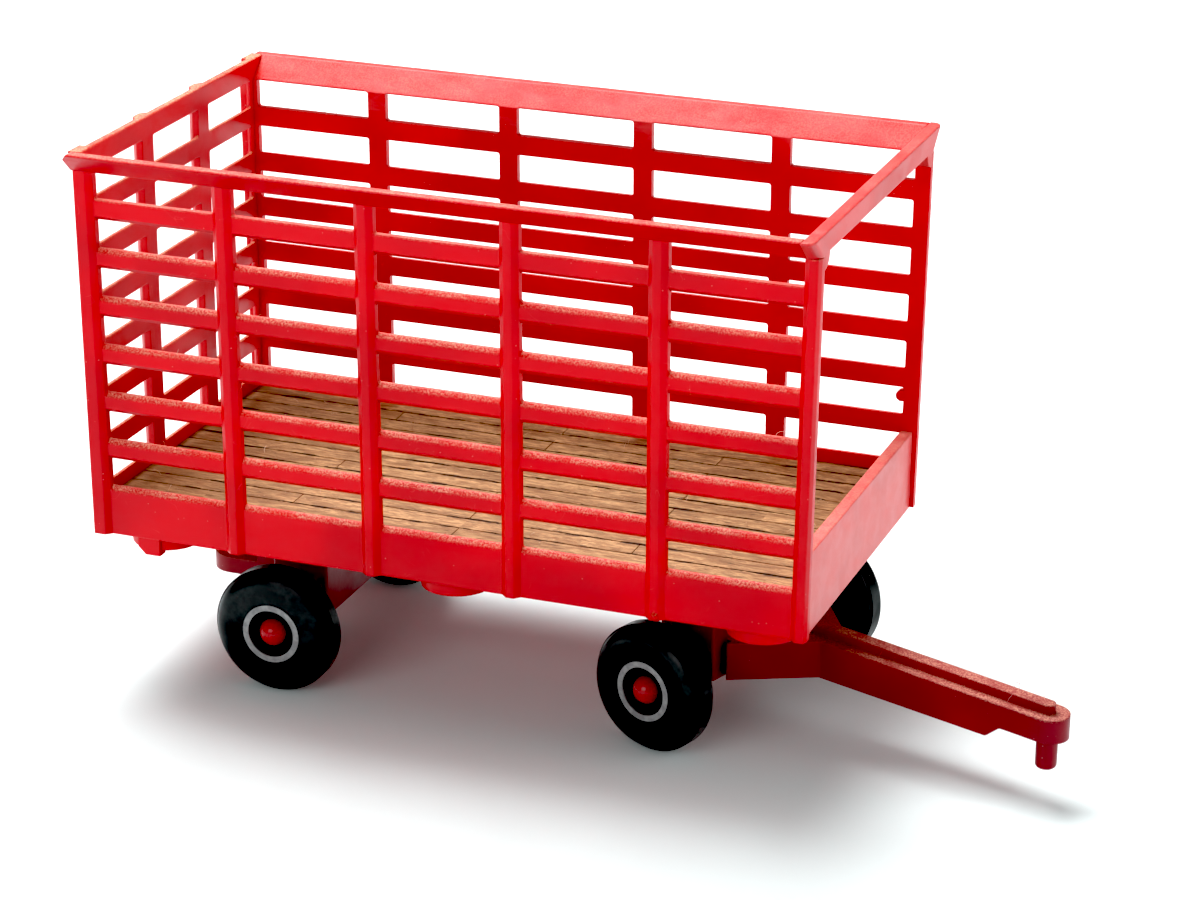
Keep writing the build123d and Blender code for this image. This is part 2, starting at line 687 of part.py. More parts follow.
def make_wheel(corner, out):
    bore = axle_radius + axle_fit
    knee = (sidewall_radius + tread_radius) / 2 + half_shoulder
    with BuildPart() as wheel:
        with BuildSketch(section_plane(corner, out)):
            with BuildLine():
                Polyline((inside + shoulder, tread_radius), (inside + shoulder, tyre_radius),
                         (wheel_face - shoulder, tyre_radius), (wheel_face - shoulder, tread_radius))
                ThreePointArc((wheel_face - shoulder, tread_radius),
                              (wheel_face - half_shoulder, knee), (wheel_face, sidewall_radius))
                Polyline((wheel_face, sidewall_radius), (wheel_face, band_outer),
                         (wheel_face - band_seat, band_outer), (wheel_face - band_seat, band_inner),
                         (dish_floor, dish_floor_radius), (dish_floor, bore), (inside, bore),
                         (inside, sidewall_radius))
                ThreePointArc((inside, sidewall_radius), (inside + half_shoulder, knee),
                              (inside + shoulder, tread_radius))
            make_face()
        revolve(axis=Axis(corner, out))
    return wheel.part


def make_band(corner, out):
    with BuildPart() as band:
        with BuildSketch(section_plane(corner, out)):
            with Locations((wheel_face - band_seat / 2 + band_proud / 2, (band_outer + band_inner) / 2)):
                Rectangle(band_seat + band_proud, band_outer - band_inner)
        revolve(axis=Axis(corner, out))
    return band.part


def make_cap(corner, out):
    back = dish_floor + end_float
    rim = back + cap_rim
    hole = axle_radius + press_gap
    blind = rod_half + press_gap
    dome_radius = (cap_radius ** 2 + cap_dome ** 2) / (2 * cap_dome)
    dome_centre = rim + cap_dome - dome_radius
    half_angle = math.atan2(cap_radius, rim - dome_centre) / 2
    dome_middle = (dome_centre + dome_radius * math.cos(half_angle), dome_radius * math.sin(half_angle))
    with BuildPart() as cap:
        with BuildSketch(section_plane(corner, out)):
            with BuildLine():
                Polyline((blind, 0), (blind, hole), (back, hole), (back, cap_radius), (rim, cap_radius))
                ThreePointArc((rim, cap_radius), dome_middle, (rim + cap_dome, 0))
                Line((rim + cap_dome, 0), (blind, 0))
            make_face()
        revolve(axis=Axis(corner, out))
    return cap.part


straight_left = (0, 1, 0)
straight_right = (0, -1, 0)
wheel_stations = [("rear_left", rear_axle_x, straight_left), ("rear_right", rear_axle_x, straight_right),
                  ("front_left", king_x, leftward), ("front_right", king_x, rightward)]
for station_name, station_x, out in wheel_stations:
    corner = (station_x, 0, axle_z)
    for piece_name, make in (("wheel", make_wheel), ("band", make_band), ("cap", make_cap)):
        piece = make(corner, out)
        piece.label = station_name + "_" + piece_name
        export_step(piece, "parts/" + piece.label + ".step")

for whole in (right_side, left_side, rear_panel, front_panel, front_bar, floor_pan, board_floor, reach,
              rear_carriage, front_carriage, kingpin, carriage_screws):
    export_step(whole.part, "parts/" + whole.part.label + ".step")
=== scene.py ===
import math
import random

import bmesh
import bpy
from mathutils import Matrix, Vector


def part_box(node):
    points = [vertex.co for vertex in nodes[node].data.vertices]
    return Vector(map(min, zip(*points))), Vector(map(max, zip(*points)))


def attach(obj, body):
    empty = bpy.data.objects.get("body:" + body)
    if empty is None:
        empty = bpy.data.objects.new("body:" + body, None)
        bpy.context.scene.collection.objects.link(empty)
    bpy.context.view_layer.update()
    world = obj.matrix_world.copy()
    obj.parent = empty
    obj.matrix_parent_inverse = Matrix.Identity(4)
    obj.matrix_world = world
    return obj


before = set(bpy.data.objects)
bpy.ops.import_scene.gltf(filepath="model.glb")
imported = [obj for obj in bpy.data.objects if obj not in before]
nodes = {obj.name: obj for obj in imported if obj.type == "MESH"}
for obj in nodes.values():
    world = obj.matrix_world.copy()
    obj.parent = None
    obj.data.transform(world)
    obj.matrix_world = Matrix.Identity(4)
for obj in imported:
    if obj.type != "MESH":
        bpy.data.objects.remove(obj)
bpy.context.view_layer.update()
mm = 0.001
print("frame loaded,", len(nodes), "parts")

# places that the rest is measured from
axleLow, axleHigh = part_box("rear_axle")
rearAxleX = (axleLow.x + axleHigh.x) / 2
sideLow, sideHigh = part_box("right_side")
boardLow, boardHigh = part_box("board_floor")


# small helpers for building node trees
def addNode(tree, kind, x=0, y=0, **settings):
    node = tree.nodes.new(kind)
    node.location = (x, y)
    for key, value in settings.items():
        setattr(node, key, value)
    return node


def put(tree, socket, value):
    if isinstance(value, bpy.types.NodeSocket):
        tree.links.new(value, socket)
    else:
        socket.default_value = value


def maths(tree, operation, a, b=0.0, clamp=False):
    node = addNode(tree, "ShaderNodeMath", operation=operation, use_clamp=clamp)
    put(tree, node.inputs[0], a)
    put(tree, node.inputs[1], b)
    return node.outputs[0]


def times(tree, a, b):
    return maths(tree, "MULTIPLY", a, b)


def plus(tree, a, b, clamp=False):
    return maths(tree, "ADD", a, b, clamp=clamp)


def minus(tree, a, b):
    return maths(tree, "SUBTRACT", a, b)


def remap(tree, value, fromRange, toRange=(0.0, 1.0), smooth=True):
    node = addNode(tree, "ShaderNodeMapRange", clamp=True)
    node.interpolation_type = "SMOOTHSTEP" if smooth else "LINEAR"
    put(tree, node.inputs["Value"], value)
    put(tree, node.inputs["From Min"], fromRange[0])
    put(tree, node.inputs["From Max"], fromRange[1])
    put(tree, node.inputs["To Min"], toRange[0])
    put(tree, node.inputs["To Max"], toRange[1])
    return node.outputs["Result"]


def tint(tree, tone, colour, mask, strength=None):
    if strength is not None:
        mask = times(tree, mask, strength)
    node = addNode(tree, "ShaderNodeMix", data_type="RGBA")
    put(tree, node.inputs["Factor"], mask)
    put(tree, node.inputs[6], tone)      # the colour sockets of a Mix node
    put(tree, node.inputs[7], colour)
    return node.outputs[2]


def noiseOf(tree, place, scale, detail=3.0, rough=0.55, distortion=0.0):
    node = addNode(tree, "ShaderNodeTexNoise")
    put(tree, node.inputs["Vector"], place)
    put(tree, node.inputs["Scale"], scale)
    put(tree, node.inputs["Detail"], detail)
    put(tree, node.inputs["Roughness"], rough)
    put(tree, node.inputs["Distortion"], distortion)
    return node.outputs["Fac"]


def stretched(tree, place, scale=(1, 1, 1), turn=(0, 0, 0)):
    node = addNode(tree, "ShaderNodeMapping")
    put(tree, node.inputs["Vector"], place)
    node.inputs["Rotation"].default_value = turn
    node.inputs["Scale"].default_value = scale
    return node.outputs["Vector"]


def axesOf(tree, value):
    node = addNode(tree, "ShaderNodeSeparateXYZ")
    put(tree, node.inputs[0], value)
    return node.outputs


def joined(tree, x, y, z=0.0):
    node = addNode(tree, "ShaderNodeCombineXYZ")
    for socket, value in zip(node.inputs, (x, y, z)):
        put(tree, socket, value)
    return node.outputs[0]


def newGroup(name, inputs, outputs):
    group = bpy.data.node_groups.new(name, "ShaderNodeTree")
    for label, kind, value in inputs:
        socket = group.interface.new_socket(label, in_out="INPUT", socket_type=kind)
        if value is not None:
            socket.default_value = value
    for label, kind in outputs:
        group.interface.new_socket(label, in_out="OUTPUT", socket_type=kind)
    start = addNode(group, "NodeGroupInput", -900)
    end = addNode(group, "NodeGroupOutput", 900)
    return group, start.outputs, end.inputs


def useGroup(tree, group, **values):
    node = addNode(tree, "ShaderNodeGroup")
    node.node_tree = group
    for label, value in values.items():
        put(tree, node.inputs[label], value)
    return node.outputs


number = "NodeSocketFloat"
vector = "NodeSocketVector"

# fluffy dust that has settled on whatever faces up and spills a little over the edges
dustLook = {
    "raggedness": 0.9,            # how far single grains break up its border
    "flatEnough": 0.80,           # facing at which it lies full
    "patches": (0.32, 0.60),
    "thinPatch": 0.42,
    "speckle": (0.42, 0.60),
    "haze": 0.16,                 # film left between the grains
}
dustGroup, given, out = newGroup(
    "settledDust",
    [("Place", vector, None), ("Amount", number, 0.8), ("Patch", number, 330.0),
     ("Grain", number, 5200.0), ("Steep", number, 0.32), ("Spill", number, 0.4 * mm)],
    [("Mask", number), ("Height", number)])
spill = addNode(dustGroup, "ShaderNodeBevel", samples=4)
put(dustGroup, spill.inputs["Radius"], given["Spill"])
facingUp = axesOf(dustGroup, spill.outputs[0])["Z"]
grains = noiseOf(dustGroup, given["Place"], given["Grain"], 3.0, 0.75)
clumps = noiseOf(dustGroup, given["Place"], given["Patch"], 4.0, 0.65)
breakUp = times(dustGroup, minus(dustGroup, grains, 0.5), dustLook["raggedness"])
ragged = plus(dustGroup, breakUp, facingUp)
upward = remap(dustGroup, ragged, (given["Steep"], dustLook["flatEnough"]))
patches = remap(dustGroup, clumps, dustLook["patches"], (dustLook["thinPatch"], 1.0))
speckle = remap(dustGroup, grains, dustLook["speckle"])
layer = times(dustGroup, times(dustGroup, upward, patches), given["Amount"])
mask = times(dustGroup, layer, plus(dustGroup, speckle, dustLook["haze"]))
put(dustGroup, out["Mask"], maths(dustGroup, "MINIMUM", mask, 1.0))
put(dustGroup, out["Height"], times(dustGroup, layer, grains))

# rounded, rubbed edges that also carry a painted edge highlight: how far a widened bevel turns the
# surface from its own facing
edgeWearAndHighlightLook = {
    "turned": (0.015, 0.2),
    "broken": (0.3, 0.6),
    "leastWearAndHighlight": 0.45,
}
edgeGroup, given, out = newGroup(
    "rubbedEdgeAndHighlight",
    [("Place", vector, None), ("Width", number, 0.2 * mm), ("Break", number, 900.0)],
    [("Mask", number), ("Normal", vector)])
soft = addNode(edgeGroup, "ShaderNodeBevel", samples=4)
put(edgeGroup, soft.inputs["Radius"], given["Width"])
facing = addNode(edgeGroup, "ShaderNodeNewGeometry")
agree = addNode(edgeGroup, "ShaderNodeVectorMath", operation="DOT_PRODUCT")
put(edgeGroup, agree.inputs[0], soft.outputs[0])
put(edgeGroup, agree.inputs[1], facing.outputs["Normal"])
turned = remap(edgeGroup, minus(edgeGroup, 1.0, agree.outputs["Value"]), edgeWearAndHighlightLook["turned"])
breaks = noiseOf(edgeGroup, given["Place"], given["Break"], 3.0)
wearAndHighlight = remap(edgeGroup, breaks, edgeWearAndHighlightLook["broken"], (edgeWearAndHighlightLook["leastWearAndHighlight"], 1.0))
# the mask lightens edges both for wear and as a painted highlight
put(edgeGroup, out["Mask"], times(edgeGroup, turned, wearAndHighlight))
put(edgeGroup, out["Normal"], soft.outputs[0])

# mould skin: a faint ripple, a fine pebble, greasy smears in the gloss and cloudy colour
skinLook = {
    "pebbleShare": 0.22,
    "smearStretch": (0.6, 1.2, 1.8),
    "smearTurn": (0.4, 0.5, 0.3),
    "smears": (0.42, 0.7),
    "cloudScale": 95.0,
    "clouds": (0.34, 0.68),
}
skinGroup, given, out = newGroup(
    "mouldSkin",
    [("Place", vector, None), ("Ripple", number, 350.0), ("Pebble", number, 6000.0),
     ("Smear", number, 140.0)],
    [("Height", number), ("Smears", number), ("Cloud", number)])
ripple = noiseOf(skinGroup, given["Place"], given["Ripple"], 2.0)
pebble = noiseOf(skinGroup, given["Place"], given["Pebble"], 2.0, 0.6)
dragged = stretched(skinGroup, given["Place"], skinLook["smearStretch"], skinLook["smearTurn"])
smear = noiseOf(skinGroup, dragged, given["Smear"], 5.0, 0.62, 0.8)
cloud = noiseOf(skinGroup, given["Place"], skinLook["cloudScale"], 1.5)
pebbled = plus(skinGroup, ripple, times(skinGroup, pebble, skinLook["pebbleShare"]))
put(skinGroup, out["Height"], pebbled)
put(skinGroup, out["Smears"], remap(skinGroup, smear, skinLook["smears"]))
put(skinGroup, out["Cloud"], remap(skinGroup, cloud, skinLook["clouds"]))

# loose pale specks and short hair scratches
markLook = {
    "rarity": (0.74, 0.78),       # only the cells above this hold a speck
    "speckCore": 0.03,
    "scratchTurn": (0.3, 0.8, 0.5),
    "scratchLine": (0.004, 0.001),
    "scratchPatch": 420.0,
    "scratched": (0.58, 0.66),
}
markGroup, given, out = newGroup(
    "specksAndScratches",
    [("Place", vector, None), ("Specks", number, 1500.0), ("SpeckSize", number, 0.11),
     ("Scratch", number, 150.0)],
    [("Specks", number), ("Scratches", number)])
cell = addNode(markGroup, "ShaderNodeTexVoronoi", feature="F1")
put(markGroup, cell.inputs["Vector"], given["Place"])
put(markGroup, cell.inputs["Scale"], given["Specks"])
lot = addNode(markGroup, "ShaderNodeSeparateColor")
put(markGroup, lot.inputs[0], cell.outputs["Color"])
rare = remap(markGroup, lot.outputs[0], markLook["rarity"])
near = remap(markGroup, cell.outputs["Distance"], (given["SpeckSize"], markLook["speckCore"]))
put(markGroup, out["Specks"], times(markGroup, rare, near))
leaning = stretched(markGroup, given["Place"], turn=markLook["scratchTurn"])
bent = noiseOf(markGroup, leaning, given["Scratch"], 2.0, 0.5, 1.5)
offLine = maths(markGroup, "ABSOLUTE", minus(markGroup, bent, 0.5))
thin = remap(markGroup, offLine, markLook["scratchLine"])
scratchy = noiseOf(markGroup, given["Place"], markLook["scratchPatch"], 1.0)
where = remap(markGroup, scratchy, markLook["scratched"])
put(markGroup, out["Scratches"], times(markGroup, thin, where))
print("shared effects ready")


def newMaterial(name):
    material = bpy.data.materials.new(name)
    material.use_nodes = True
    tree = material.node_tree
    tree.nodes.clear()
    output = addNode(tree, "ShaderNodeOutputMaterial", 1400)
    shader = addNode(tree, "ShaderNodeBsdfPrincipled", 1100)
    tree.links.new(shader.outputs[0], output.inputs["Surface"])
    place = addNode(tree, "ShaderNodeTexCoord", -1300).outputs["Object"]
    return material, tree, shader, place


def bumpOf(tree, height, strength, distance, normal=None):
    node = addNode(tree, "ShaderNodeBump", 900)
    put(tree, node.inputs["Height"], height)
    node.inputs["Strength"].default_value = strength
    node.inputs["Distance"].default_value = distance
    if normal is not None:
        tree.links.new(normal, node.inputs["Normal"])
    return node.outputs[0]


def dress(tree, shader, tone, rough, normal, fixed):
    put(tree, shader.inputs["Base Color"], tone)
    put(tree, shader.inputs["Roughness"], rough)
    put(tree, shader.inputs["Normal"], normal)
    for label, value in fixed.items():
        shader.inputs[label].default_value = value


rackPlastic = {
    "red": (0.74, 0.0015, 0.010, 1),
    "deepRed": (0.42, 0.001, 0.010, 1),
    "edgePinkWearAndHighlight": (0.92, 0.07, 0.08, 1),
    "dust": (0.80, 0.34, 0.25, 1),
    "paintedSheen": (0.92, 0.40, 0.38, 1),
    "speck": (0.85, 0.48, 0.42, 1),
    "scratch": (0.9, 0.12, 0.12, 1),
    "edgeWidth": 0.22 * mm,
    "underside": (-0.10, -0.55),     # facing at which downward faces are painted darker, as shade
    "sheenStretch": (0.45, 1, 1),
    "sheenPatch": (0.36, 0.68),
    "rimFeather": 0.2 * mm,
    "gloss": 0.34,
    "fixed": {
        "Subsurface Weight": 0.16,   # light that spreads inside the plastic
        "Subsurface Radius": (1.0, 0.12, 0.08),
        "Subsurface Scale": 1.1 * mm,
        "IOR": 1.5,
        "Specular IOR Level": 0.42,
    },
}


def makeRackPlastic(name, dust=0.8, dustTint=rackPlastic["dust"], paintedSheen=0.0,
                    paintedSheenFrom=0.0, paintedReflection=0.0, specks=0.5):
    material, tree, shader, place = newMaterial(name)
    skin = useGroup(tree, skinGroup, Place=place)
    edge = useGroup(tree, edgeGroup, Place=place, Width=rackPlastic["edgeWidth"])
    film = useGroup(tree, dustGroup, Place=place, Amount=dust)
    marks = useGroup(tree, markGroup, Place=place)
    facing = addNode(tree, "ShaderNodeNewGeometry").outputs["Normal"]
    # painted shade: faces that point down are tinted towards the deep red
    under = remap(tree, axesOf(tree, facing)["Z"], rackPlastic["underside"], (0.0, 0.85))
    tone = tint(tree, rackPlastic["red"], rackPlastic["deepRed"], skin["Cloud"], 0.42)
    tone = tint(tree, tone, rackPlastic["deepRed"], under)
    # edges tinted pale pink: partly wear, partly a painted edge highlight
    tone = tint(tree, tone, rackPlastic["edgePinkWearAndHighlight"], edge["Mask"], 0.30)
    # painted reflection: a pale pink wash stands in for the white lamp mirrored on front faces
    if paintedReflection:
        paintedReflectionMask = remap(tree, skin["Smears"], (0.0, 1.0), (0.55, 1.0))
        tone = tint(tree, tone, rackPlastic["paintedSheen"], paintedReflectionMask, paintedReflection)
    if paintedSheen:      # painted pale sheen in patches, only above a height
        feather = rackPlastic["rimFeather"]
        onRim = remap(tree, axesOf(tree, place)["Z"], (paintedSheenFrom - feather, paintedSheenFrom + feather))
        sheenNoise = noiseOf(tree, stretched(tree, place, rackPlastic["sheenStretch"]), 420.0, 5.0, 0.62, 0.4)
        patch = times(tree, remap(tree, sheenNoise, rackPlastic["sheenPatch"]), onRim)
        tone = tint(tree, tone, rackPlastic["paintedSheen"], patch, paintedSheen)
    tone = tint(tree, tone, dustTint, film["Mask"])
    tone = tint(tree, tone, rackPlastic["speck"], marks["Specks"], specks)
    tone = tint(tree, tone, rackPlastic["scratch"], marks["Scratches"], 0.22)
    rough = plus(tree, times(tree, skin["Smears"], 0.13), rackPlastic["gloss"])
    rough = plus(tree, rough, times(tree, film["Mask"], 0.5), clamp=True)
    height = plus(tree, times(tree, skin["Height"], 0.5), times(tree, film["Height"], 1.6))
    normal = bumpOf(tree, height, 0.5, 0.06 * mm, edge["Normal"])
    dress(tree, shader, tone, rough, normal, rackPlastic["fixed"])
    return material


boards = {
    "light": (0.66, 0.41, 0.205, 1),
    "mid": (0.315, 0.160, 0.066, 1),
    "dark": (0.165, 0.072, 0.03, 1),
    "groove": (0.035, 0.012, 0.005, 1),
    "speck": (0.86, 0.68, 0.48, 1),
    "count": 14,
    "pieceLength": 18.2 * mm,
    "stagger": 9.1 * mm,
    "grainSlide": 70 * mm,           # each length of board shows another part of the grain
    "grain": (0.39, 0.62),
    "broad": (0.58, 0.38),
    "stain": (0.45, 0.75),
    "rearShare": 0.26,               # the rearmost stretch of the floor turns darker towards the rear end
    "grooveWidth": (0.02, 0.13),
    "grooveGaps": (0.44, 0.54),
    "checkLine": (0.012, 0.003),
    "gloss": 0.62,
    "fixed": {"IOR": 1.46},
}


def makeBoardPlastic(name):
    material, tree, shader, place = newMaterial(name)
    width = (boardHigh.y - boardLow.y) / boards["count"]
    at = axesOf(tree, place)
    across = maths(tree, "DIVIDE", minus(tree, at["Y"], boardLow.y), width)
    board = maths(tree, "FLOOR", across)
    inBoard = maths(tree, "FRACT", across)
    along = minus(tree, at["X"], (boardLow.x + boardHigh.x) / 2)
    staggered = plus(tree, along, times(tree, board, boards["stagger"]))
    piece = maths(tree, "FLOOR", maths(tree, "DIVIDE", staggered, boards["pieceLength"]))
    own = addNode(tree, "ShaderNodeTexWhiteNoise", noise_dimensions="2D")
    put(tree, own.inputs["Vector"], joined(tree, board, piece))
    ownTone = own.outputs["Value"]
    slid = plus(tree, at["Y"], times(tree, ownTone, boards["grainSlide"]))
    slide = joined(tree, at["X"], slid, at["Z"])
    grain = noiseOf(tree, stretched(tree, slide, (0.22, 1, 0.5)), 3600.0, 5.0, 0.72, 0.5)
    broad = noiseOf(tree, stretched(tree, slide, (0.16, 1, 0.5)), 900.0, 3.0, 0.55, 0.9)
    stain = noiseOf(tree, place, 95.0, 3.0, 0.6)
    fromRear = boardLow.x + boards["rearShare"] * (boardHigh.x - boardLow.x)
    tone = tint(tree, boards["mid"], boards["light"], remap(tree, grain, boards["grain"]))
    tone = tint(tree, tone, boards["dark"], remap(tree, broad, boards["broad"], (0.0, 0.50)))
    tone = tint(tree, tone, boards["dark"], remap(tree, ownTone, (0.0, 1.0), (0.0, 0.22), False))
    tone = tint(tree, tone, boards["dark"], remap(tree, stain, boards["stain"], (0.0, 0.35)))
    tone = tint(tree, tone, boards["dark"], remap(tree, at["X"], (fromRear, boardLow.x), (0.0, 0.35)))
    # dark paint runs along the grooves and breaks up where the wash missed
    lineAt = maths(tree, "MINIMUM", inBoard, minus(tree, 1.0, inBoard))
    wander = noiseOf(tree, stretched(tree, place, (0.3, 1, 1)), 1100.0, 3.0, 0.6)
    groove = maths(tree, "LESS_THAN", lineAt, remap(tree, wander, (0.35, 0.65), boards["grooveWidth"]))
    missed = noiseOf(tree, stretched(tree, place, (0.35, 1, 1)), 620.0, 4.0, 0.7)
    gaps = remap(tree, missed, boards["grooveGaps"], (0.12, 1.0))
    tone = tint(tree, tone, boards["groove"], times(tree, groove, times(tree, gaps, 0.92)))
    # a second, finer check line inside some boards
    ridge = noiseOf(tree, stretched(tree, slide, (0.05, 1, 0.3)), 1500.0, 2.0)
    check = remap(tree, maths(tree, "ABSOLUTE", minus(tree, ridge, 0.5)), boards["checkLine"])
    checks = times(tree, check, remap(tree, ownTone, (0.35, 0.5)))
    tone = tint(tree, tone, boards["groove"], checks, 0.55)
    marks = useGroup(tree, markGroup, Place=place, Specks=1900.0, SpeckSize=0.13)
    tone = tint(tree, tone, boards["speck"], marks["Specks"], 0.75)
    rough = remap(tree, grain, (0.3, 0.7), (boards["gloss"] - 0.14, boards["gloss"] + 0.12))
    height = minus(tree, plus(tree, grain, broad), times(tree, groove, 1.6))
    dress(tree, shader, tone, rough, bumpOf(tree, height, 0.85, 0.12 * mm), boards["fixed"])
    return material


gearPaint = {
    "crimson": (0.30, 0.0015, 0.012, 1),
    "dark": (0.15, 0.001, 0.013, 1),
    "edge": (0.55, 0.03, 0.05, 1),
    "dust": (0.62, 0.28, 0.21, 1),
    "speck": (0.7, 0.35, 0.33, 1),
    "edgeWidth": 0.24 * mm,
    "gloss": 0.33,
    "fixed": {"IOR": 1.5, "Specular IOR Level": 0.4},
}


def makeGearPaint(name, dust=0.75):
    material, tree, shader, place = newMaterial(name)
    skin = useGroup(tree, skinGroup, Place=place, Ripple=500.0, Pebble=5200.0)
    edge = useGroup(tree, edgeGroup, Place=place, Width=gearPaint["edgeWidth"], Break=1300.0)
    film = useGroup(tree, dustGroup, Place=place, Amount=dust, Steep=0.45)
    marks = useGroup(tree, markGroup, Place=place, Specks=1400.0, SpeckSize=0.10)
    tone = tint(tree, gearPaint["crimson"], gearPaint["dark"], skin["Cloud"], 0.5)
    # edges tinted lighter red: partly wear, partly a painted edge highlight
    tone = tint(tree, tone, gearPaint["edge"], edge["Mask"], 0.42)
    tone = tint(tree, tone, gearPaint["dust"], film["Mask"])
    tone = tint(tree, tone, gearPaint["speck"], marks["Specks"], 0.5)
    rough = plus(tree, times(tree, skin["Smears"], 0.16), gearPaint["gloss"])
    rough = plus(tree, rough, times(tree, film["Mask"], 0.5), clamp=True)
    height = plus(tree, times(tree, skin["Height"], 0.9), film["Height"])
    normal = bumpOf(tree, height, 0.6, 0.08 * mm, edge["Normal"])
    dress(tree, shader, tone, rough, normal, gearPaint["fixed"])
    return material


tyre = {
    "black": (0.005, 0.006, 0.007, 1),
    "bloomAndSheenGrey": (0.022, 0.026, 0.028, 1),
    "edge": (0.06, 0.06, 0.065, 1),
    "speck": (0.45, 0.42, 0.40, 1),
    "edgeWidth": 0.3 * mm,
    "bloomAndSheen": (0.42, 0.68),           # greyed patches of old rubber, also a painted bluish sheen
    "gloss": 0.33,
    "fixed": {"IOR": 1.48, "Specular IOR Level": 0.45},
}


def makeTyre(name):
    material, tree, shader, place = newMaterial(name)
    skin = useGroup(tree, skinGroup, Place=place, Ripple=420.0, Pebble=7000.0, Smear=260.0)
    edge = useGroup(tree, edgeGroup, Place=place, Width=tyre["edgeWidth"])
    marks = useGroup(tree, markGroup, Place=place, Specks=900.0, SpeckSize=0.07)
    bloomAndSheen = remap(tree, noiseOf(tree, place, 420.0, 5.0, 0.65), tyre["bloomAndSheen"])
    # grey patches: rubber bloom together with a painted sheen
    tone = tint(tree, tyre["black"], tyre["bloomAndSheenGrey"], bloomAndSheen, 0.7)
    # edges tinted grey: partly wear, partly a painted highlight on the shoulders
    tone = tint(tree, tone, tyre["edge"], edge["Mask"], 0.35)
    tone = tint(tree, tone, tyre["speck"], marks["Specks"], 0.35)
    rough = plus(tree, times(tree, skin["Smears"], 0.2), tyre["gloss"])
    normal = bumpOf(tree, skin["Height"], 0.4, 0.05 * mm, edge["Normal"])
    dress(tree, shader, tone, rough, normal, tyre["fixed"])
    return material


band = {
    "silver": (0.34, 0.34, 0.345, 1),
    "dull": (0.21, 0.21, 0.215, 1),
    "speck": (0.03, 0.03, 0.03, 1),
    "thinPaint": (0.36, 0.62),
    "metal": (0.45, 0.25),
    "gloss": 0.46,
}


def makeBand(name):
    material, tree, shader, place = newMaterial(name)
    skin = useGroup(tree, skinGroup, Place=place, Ripple=900.0, Pebble=9000.0, Smear=600.0)
    marks = useGroup(tree, markGroup, Place=place, Specks=2600.0, SpeckSize=0.12)
    thinPaint = remap(tree, noiseOf(tree, place, 1500.0, 4.0, 0.6), band["thinPaint"])
    tone = tint(tree, band["silver"], band["dull"], thinPaint, 0.75)
    tone = tint(tree, tone, band["speck"], marks["Specks"], 0.8)
    rough = plus(tree, times(tree, skin["Smears"], 0.15), band["gloss"])
    normal = bumpOf(tree, plus(tree, skin["Height"], thinPaint), 0.5, 0.03 * mm)
    put(tree, shader.inputs["Metallic"], remap(tree, thinPaint, (0.0, 1.0), band["metal"]))
    dress(tree, shader, tone, rough, normal, {})
    return material


cap = {
    "red": (0.46, 0.002, 0.010, 1),
    "deep": (0.24, 0.001, 0.006, 1),
    "edge": (0.85, 0.08, 0.1, 1),
    "edgeWidth": 0.18 * mm,
    "gloss": 0.13,
    "fixed": {"IOR": 1.5},
}


def makeCap(name):
    material, tree, shader, place = newMaterial(name)
    skin = useGroup(tree, skinGroup, Place=place, Ripple=1500.0, Pebble=9000.0, Smear=500.0)
    edge = useGroup(tree, edgeGroup, Place=place, Width=cap["edgeWidth"])
    tone = tint(tree, cap["red"], cap["deep"], skin["Cloud"], 0.3)
    # edges tinted bright pink: partly wear, partly a painted edge highlight
    tone = tint(tree, tone, cap["edge"], edge["Mask"], 0.4)
    rough = plus(tree, times(tree, skin["Smears"], 0.12), cap["gloss"])
    normal = bumpOf(tree, skin["Height"], 0.6, 0.05 * mm, edge["Normal"])
    dress(tree, shader, tone, rough, normal, cap["fixed"])
    return material


steel = {
    "bright": (0.56, 0.56, 0.57, 1),
    "dull": (0.30, 0.29, 0.29, 1),
    "edge": (0.8, 0.8, 0.8, 1),
    "edgeWidth": 0.15 * mm,
    "tarnish": (0.45, 0.7),
    "gloss": 0.24,
    "fixed": {"Metallic": 1.0},
}


def makeSteel(name, turned=(40, 1, 40)):      # lathe lines run round the axis left at 1
    material, tree, shader, place = newMaterial(name)
    lathe = noiseOf(tree, stretched(tree, place, turned), 260.0, 3.0, 0.6)
    edge = useGroup(tree, edgeGroup, Place=place, Width=steel["edgeWidth"])
    tarnish = remap(tree, noiseOf(tree, place, 700.0, 4.0, 0.6), steel["tarnish"])
    tone = tint(tree, steel["bright"], steel["dull"], tarnish, 0.7)
    # edges tinted bright: partly wear, partly a painted edge highlight
    tone = tint(tree, tone, steel["edge"], edge["Mask"], 0.4)
    rough = remap(tree, lathe, (0.3, 0.7), (steel["gloss"], steel["gloss"] + 0.18))
    normal = bumpOf(tree, lathe, 0.4, 0.02 * mm, edge["Normal"])
    dress(tree, shader, tone, rough, normal, steel["fixed"])
    return material


